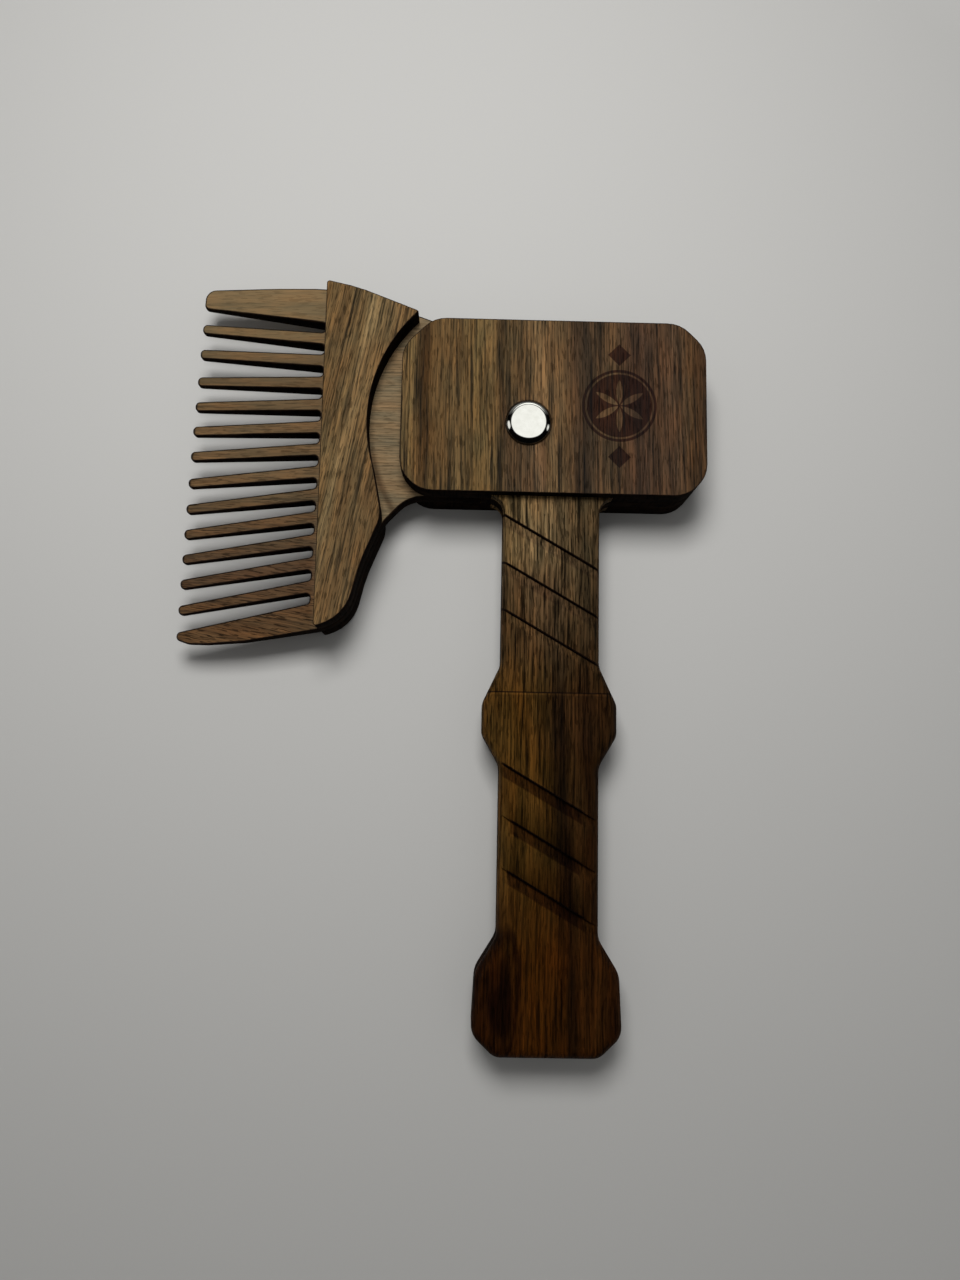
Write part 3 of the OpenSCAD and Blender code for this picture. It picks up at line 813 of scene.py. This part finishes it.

# %% [markdown]
# ## Marks on the handle
# The two grip scales have six cut grooves. Each has a thin dark line at its upper side, partly
# scorch from the saw and partly painted shade of the steep wall, and on the lower three the long
# slope below it is darkened, partly browned wood and partly painted shadow of that wall. These
# could be picked by the way a face looks, but the marks would then end hard on mesh edges. Two
# masks made from the grooves' places fade out towards their ends instead, as scorch and shade do.
# At the pommel the grain flows round a dark knot, which is rings about a long leaning ellipse.

# %% Helpers for the grips
groove_tilt = math.radians(30)
line_half_width = 0.27
slope_reach = (-2.2, 0.3)
# Each groove's place down the handle, the two ends of its marks and how dark its slope is painted
grooves = [
    (-17.6, -9.0, 19.0, 0.4),
    (-25.7, -9.0, 19.0, 0.4),
    (-33.7, -9.0, 19.0, 0.0),
    (-59.2, -4.4, 11.9, 0.95),
    (-67.5, -2.6, 11.4, 0.95),
    (-75.8, -3.2, 12.0, 0.95),
]


def groove_lines(tree, placed):
    """Masks of the dark line above each groove and of the darkened slope below it, partly scorch
    and partly painted shade.
    """
    x, y, _ = parts_of(tree, placed)
    side = product(tree, x, 1 / mm)
    place = product(tree, x, math.sin(groove_tilt) / mm)
    place = sums(tree, "MULTIPLY_ADD", y, math.cos(groove_tilt) / mm, place)
    lines = 0.0
    browned_and_shaded_slopes = 0.0
    for groove, left, right, slope_darkness in grooves:
        off = sums(tree, "SUBTRACT", place, groove)
        reach = between(tree, side, left, right, 0.9)
        line = stretch(tree, sums(tree, "ABSOLUTE", off), line_half_width, 0.14)
        lines = sums(tree, "MAXIMUM", product(tree, line, reach), lines)
        browned_and_shaded_slope = product(tree, between(tree, off, *slope_reach, 0.3), slope_darkness)
        browned_and_shaded_slopes = sums(tree, "MAXIMUM", product(tree, browned_and_shaded_slope, reach), browned_and_shaded_slopes)
    return lines, browned_and_shaded_slopes


def knot(tree, placed, centre_x, centre_y, wide, high, lean):
    """Distance from a long leaning knot, one at its rim."""
    place_x, place_y, _ = parts_of(tree, placed)
    x = sums(tree, "MULTIPLY_ADD", place_x, 1 / (mm * wide), -centre_x / wide)
    y = sums(tree, "MULTIPLY_ADD", place_y, 1 / (mm * high), -centre_y / high)
    return length_of(tree, sums(tree, "MULTIPLY_ADD", y, -lean * high / wide, x), y)


print("grip helpers ready, for", len(grooves), "grooves")

# %% [markdown]
# ## The handle
# The grip scales are the darkest wood, oiled by the hand. Their long edges are rounded in
# the CAD model, and the grooves and the collar's step are cut in it too, so the mesh stays as
# it is. The colour runs from light brown on the shaft to nearly black red at the pommel, which
# no single ramp can do: three ramps across the grain are mixed along it. The middle board
# between the scales takes the shaft's colours.

# %% Grip scales and core
shaft_bands = [
    (-6, (95, 76, 47)),
    (-3, (94, 75, 48)),
    (1.5, (101, 82, 55)),
    (4.5, (98, 79, 53)),
    (7, (87, 70, 47)),
    (10, (71, 57, 38)),
    (12, (61, 49, 32)),
    (15, (70, 55, 36)),
]
grip_bands = [
    (-6, (76, 53, 22)),
    (-3, (75, 50, 18)),
    (1, (68, 45, 15)),
    (4, (57, 38, 13)),
    (5.6, (35, 22, 8)),
    (7.2, (25, 15, 6)),
    (8.6, (53, 34, 14)),
    (10.2, (48, 30, 12)),
    (11.6, (36, 20, 7)),
    (14, (41, 25, 9)),
]
pommel_bands = [
    (-9.5, (43, 22, 5)),
    (-5, (40, 19, 4)),
    (-1.5, (53, 28, 5)),
    (3.5, (58, 31, 5)),
    (8.2, (51, 26, 5)),
    (9.1, (31, 16, 4)),
    (10.1, (31, 16, 4)),
    (11, (45, 24, 6)),
    (14.6, (48, 26, 7)),
    (16.4, (37, 19, 5)),
    (19.5, (45, 23, 6)),
]
shaft_to_grip = (-26.0, -54.0)
grip_to_pommel = (-84.0, -102.0)
drift_from_to = (-58.0, -92.0)
pommel_drift = -1.8
# The painted shadow line above the collar's step, partly scorch, and the painted highlight below
# it, partly a worn edge.
step_shadow = (-52.66, -52.36)
step_shine = (-53.1, -52.66)
# Each ring's distance from the middle of the knot and how dark it is
knot_rings = ((0.72, 0.4), (1.1, 1.0), (1.4, 0.25))
grip_pieces = [
    ("grip_front", "grip_scale_front", 2.7),
    ("grip_back", "grip_scale_back", 31.0),
]
for name, node, shift in grip_pieces:
    grip_wood, tree, figure, placed = start_wood(
        name + "_wood", pivot, wander=1.2, shift=shift, pore_amount=0.42, pore_width=0.13,
        pore_length=1.2, line_width=0.38, line_length=12.0,
    )
    across, along = figure["Across"], figure["Along"]
    shaft = bands(tree, across, shaft_bands)
    drifting = stretch(tree, along, *drift_from_to, 0.0, pommel_drift)
    grip = bands(tree, sums(tree, "ADD", across, drifting), grip_bands)
    pommel = bands(tree, across, pommel_bands)
    colour = mixed(tree, stretch(tree, along, *shaft_to_grip), shaft, grip)
    colour = mixed(tree, stretch(tree, along, *grip_to_pommel), colour, pommel)
    level = stretch(tree, along, -48.0, -94.0, 0.77, 0.93)
    level = sums(tree, "MAXIMUM", level, stretch(tree, along, -50.0, -44.0, 0.78, 1.0))
    colour = mixed(tree, 1.0, colour, grey(tree, level), "MULTIPLY")
    greyer = patch(
        tree, figure, left=-1.0, right=24.0, low=-66.0, high=-51.0, soft_side=4.0, soft_end=4.0
    )
    colour = shaded(tree, colour, greyer, 1.08, 1.13, 1.36)
    tanned = patch(
        tree, figure, left=-14.0, right=9.5, low=-50.0, high=-26.5, soft_side=5.0, soft_end=5.0
    )
    colour = shaded(tree, colour, tanned, 0.66, 0.62, 0.66)
    left_side = patch(
        tree, figure, left=-14.0, right=-0.5, low=-60.0, high=-28.0, soft_side=2.5, soft_end=5.0
    )
    colour = shaded(tree, colour, left_side, 0.82, 0.82, 0.82)
    below_grooves = patch(
        tree, figure, left=-12.0, right=22.0, low=-100.0, high=-73.0, soft_side=1.0, soft_end=8.0
    )
    colour = shaded(tree, colour, below_grooves, 0.88, 0.88, 0.88)
    rings = knot(
        tree, placed, centre_x=-5.0, centre_y=-112.0, wide=4.2, high=14.5, lean=0.13
    )
    rings = sums(tree, "MULTIPLY_ADD", figure["Mottle"], 0.2, rings)
    for ring, dark in knot_rings:
        mask = product(tree, stretch(tree, off_by(tree, rings, ring), 0.18, 0.04), dark)
        colour = shaded(tree, colour, mask, 0.36, 0.33, 0.42)
    colour = shaded(tree, colour, stretch(tree, rings, 1.15, 0.95), 0.8, 0.8, 0.86)
    heart = knot(tree, placed, centre_x=-3.6, centre_y=-109.6, wide=2.9, high=6.4, lean=0.0)
    heart = sums(tree, "MULTIPLY_ADD", figure["Mottle"], 0.5, heart)
    colour = shaded(tree, colour, stretch(tree, heart, 1.25, 0.7), 0.3, 0.28, 0.5)
    # Dark groove lines and darkened slopes, each partly scorch and partly painted shade of the
    # steep wall.
    scorch_and_shade_lines, browned_and_shaded_slope = groove_lines(tree, placed)
    colour = shaded(tree, colour, browned_and_shaded_slope, 0.4, 0.34, 0.42)
    # A painted shadow line, partly scorch, lies above the collar's step, and a painted highlight,
    # partly a worn edge, runs along the step below it.
    whole_width = between(tree, across, -9.0, 19.0, 1.0)
    step = product(tree, whole_width, between(tree, along, *step_shadow, 0.1))
    scorch_and_shade_lines = sums(tree, "MAXIMUM", scorch_and_shade_lines, step)
    shine = product(tree, whole_width, between(tree, along, *step_shine, 0.12))
    colour = shaded(tree, colour, shine, 1.5, 1.45, 1.4)
    coat = end_wood(
        tree, figure, colour, extra_char_and_shade=scorch_and_shade_lines, sheen=0.02, streak_depth=0.65, level=1.04
    )
    coarse = stretch(tree, along, -56.0, -66.0, 1.8, 1.25)
    tree.links.new(coarse, coat.inputs["Fibre Depth"])
    tree.links.new(product(tree, coarse, 0.3), coat.inputs["Pore Depth"])
    bm = whole_faces(node)
    bm.verts.layers.float.new("char")
    finished_piece(bm, name, node, "handle", (grip_wood,), crease=20)

core_wood, tree, figure, _ = start_wood("core_wood", pivot, shift=13.0)
end_wood(tree, figure, bands(tree, figure["Across"], shaft_bands))
soft_board("handle_middle", "handle_core", "handle", core_wood)

# %% [markdown]
# ## The metal
# The pivot is a nickel plated binding post. Its cap is flat and bright, and its bevel takes a
# much darker nickel, a painted dark reflection. Both are one recipe of polished, slightly cloudy
# metal.

# %% Two tones of nickel
cloud_per_mm = 0.9


def plated(name, dark, pale):
    """A polished metal whose tone is a little cloudy."""
    material, tree = new_material(name)
    place = scaled_object_place(tree, cloud_per_mm / mm, cloud_per_mm / mm, cloud_per_mm / mm)
    cloud = noise(tree, place, 3.0)
    shader = put(tree, "ShaderNodeBsdfPrincipled", {
        "Base Color": mixed(tree, cloud, dark, pale),
        "Roughness": stretch(tree, cloud, 0.3, 0.7, 0.04, 0.08), "Metallic": 1.0,
    })
    put(tree, "ShaderNodeOutputMaterial", {"Surface": shader.outputs[0]})
    return material


nickel = plated("nickel", screen_colour(226, 226, 216), screen_colour(250, 250, 242))
nickel_painted_dark_reflection = plated("nickel_painted_dark_reflection", screen_colour(84, 84, 80), screen_colour(96, 96, 92))
print("plated metals:", nickel.name, "and", nickel_painted_dark_reflection.name)

# %% [markdown]
# ## The stud
# The CAD cap is a cone of long thin triangles, on which reflections look ragged. Smoothing
# them would round the cap's flat top too. So the head is cut off a copy of the post and spun
# anew from a line that is half of its outline, and the rim of the flat top is rounded. The
# screw at the back only needs its sharp edges softened.

# %% Stud and screw
half_outline = [
    (4.55, 14.0), (4.55, 14.36), (4.05, 14.8), (3.48, 15.2), (3.1, 15.2), (0.0, 15.2)
]
wood_top = 14.0 * mm
cut_height = wood_top + 0.1 * mm
head_starts = wood_top + 0.01 * mm
spin_steps = 72
rim_round = 0.26 * mm
screw_round = 0.06 * mm
flat_normal = 0.9


def spin_new_head(bm):
    """Replaces the head of the post by one spun from its half outline."""
    head = [vert for vert in bm.verts if vert.co.z > cut_height]
    bmesh.ops.delete(bm, geom=head, context="VERTS")
    line = [
        bm.verts.new((pivot.x + radius * mm, pivot.y, height * mm))
        for radius, height in half_outline
    ]
    line_edges = [bm.edges.new(pair) for pair in zip(line, line[1:])]
    bmesh.ops.spin(
        bm, geom=line + line_edges, cent=(pivot.x, pivot.y, 0.0), axis=(0.0, 0.0, 1.0),
        angle=math.tau, steps=spin_steps, use_merge=True,
    )
    bmesh.ops.remove_doubles(bm, verts=bm.verts, dist=same_place)
    spun = [face for face in bm.faces if face.calc_center_median().z > head_starts]
    if sum(face.normal.z for face in spun) < 0:
        bmesh.ops.reverse_faces(bm, faces=spun)


def flat_rim(bm, top):
    """The edges round the flat top."""
    return [
        edge for edge in bm.edges
        if len(edge.link_faces) == 2 and edge.calc_face_angle() > math.radians(20)
        and all(vert.co.z > top - 0.01 * mm for vert in edge.verts)
    ]


post = whole_faces("pivot_post")
post_top = max(vert.co.z for vert in post.verts)
spin_new_head(post)
rounded(post, flat_rim(post, post_top), rim_round, segments=4, clamp=True)
# The bevel faces take the darker nickel, a painted dark reflection.
for face in post.faces:
    in_head = face.calc_center_median().z > head_starts
    face.material_index = int(in_head and face.normal.z < flat_normal)
print("rim faces in black nickel:", sum(face.material_index for face in post.faces))
finished_piece(post, "stud", "pivot_post", "handle", (nickel, nickel_painted_dark_reflection))
screw = whole_faces("pivot_screw")
rounded(screw, sharp_edges(screw, math.radians(25)), screw_round, segments=2, clamp=True)
finished_piece(screw, "stud_screw", "pivot_screw", "handle", (nickel,))

# %% [markdown]
# ## Floor and lamp
# The floor is one pale sheet. A small lamp on the upper left gives the soft shadows and lets
# the light fall off towards the pommel, as in the photograph. A bigger lamp would light the
# deep gaps between the teeth less. Far out, where the lamp hardly reaches, the floor glows
# for the camera only, so side views don't end in the dark.

# %% Floor and lamp
floor_half = 3.0
haze_from = 0.18
haze_full = 0.5
haze_glow = 0.64
lamp_place = Vector((-0.018, 0.138, 0.29))
lamp_aim = Vector((0.0, 0.08, 0.0))
floor_mesh = bpy.data.meshes.new("floor")
bm = bmesh.new()
bmesh.ops.create_grid(bm, x_segments=4, y_segments=4, size=floor_half)
bm.to_mesh(floor_mesh)
bm.free()
floor = bpy.data.objects.new("floor", floor_mesh)
bpy.context.scene.collection.objects.link(floor)
pale = bpy.data.materials.new("pale_floor")
pale.use_nodes = True
pale_shader = pale.node_tree.nodes["Principled BSDF"]
pale_shader.inputs["Base Color"].default_value = screen_colour(182, 181, 178)
pale_shader.inputs["Roughness"].default_value = 0.9
pale_shader.inputs["Specular IOR Level"].default_value = 0.1
place = put(pale.node_tree, "ShaderNodeTexCoord").outputs["Object"]
away = put(pale.node_tree, "ShaderNodeVectorMath", {0: place}, operation="LENGTH")
haze = stretch(pale.node_tree, away.outputs["Value"], haze_from, haze_full, 0.0, haze_glow)
seen = put(pale.node_tree, "ShaderNodeLightPath").outputs["Is Camera Ray"]
haze = product(pale.node_tree, haze, seen)
pale.node_tree.links.new(haze, pale_shader.inputs["Emission Strength"])
floor_mesh.materials.append(pale)

lamp_data = bpy.data.lights.new("softbox", "AREA")
lamp_data.shape = "SQUARE"
lamp_data.size = 0.13
lamp_data.energy = 0.93
lamp = bpy.data.objects.new("softbox", lamp_data)
bpy.context.scene.collection.objects.link(lamp)
lamp.location = lamp_place
lamp.rotation_euler = (lamp_aim - lamp_place).to_track_quat("-Z", "Y").to_euler()
lamp.visible_glossy = False
print("lamp", round((lamp_aim - lamp_place).length / mm), "mm from its aim")

# %% [markdown]
# ## The room
# The world is a plain studio: grey above and darker at eye level. What metal mirrors decides
# how it looks, so glossy rays see another room. Its bright ceiling makes the stud's cap
# white, its bright north and dark south part the bevel into grey and black, and two small
# windows at the sides put a white spot on the bevel's left and right. The camera itself sees
# a pale wall.

# %% World
sky_low = 0.05
sky_high = 0.27
ceiling_glow = 1.02
north_glow = 1.7
window_glow = 7.0
window_cone = (0.975, 0.99)
windows = ((-0.94, 0.13, 0.33), (0.95, 0.05, 0.28))
wall_seen = 0.8
world = bpy.data.worlds.new("studio")
bpy.context.scene.world = world
world.use_nodes = True
tree = world.node_tree
background = tree.nodes["Background"]
background.inputs["Color"].default_value = (1, 1, 1, 1)
direction = put(tree, "ShaderNodeTexCoord").outputs["Generated"]
_, northwards, upwards = parts_of(tree, direction)
rays = put(tree, "ShaderNodeLightPath").outputs
soft_sky = stretch(tree, upwards, 0.1, 0.8, sky_low, sky_high)
mirrored = stretch(tree, upwards, 0.8, 0.9, 0.0, ceiling_glow)
mirrored = product(tree, mirrored, stretch(tree, northwards, -0.3, -0.1))
north = stretch(tree, northwards, 0.6, 0.9, 0.01, north_glow)
mirrored = sums(tree, "MAXIMUM", mirrored, north)
for window in windows:
    towards = put(
        tree, "ShaderNodeVectorMath", {0: direction, 1: window}, operation="DOT_PRODUCT"
    ).outputs["Value"]
    pane = stretch(tree, towards, *window_cone, 0.0, window_glow)
    mirrored = sums(tree, "MAXIMUM", mirrored, pane)
to_mirrored = sums(tree, "SUBTRACT", mirrored, soft_sky)
glow = sums(tree, "MULTIPLY_ADD", rays["Is Glossy Ray"], to_mirrored, soft_sky)
to_wall = sums(tree, "SUBTRACT", wall_seen, glow)
glow = sums(tree, "MULTIPLY_ADD", rays["Is Camera Ray"], to_wall, glow)
tree.links.new(glow, background.inputs["Strength"])
bpy.context.scene.view_settings.view_transform = "Standard"
print("world with", len(windows), "windows ready")
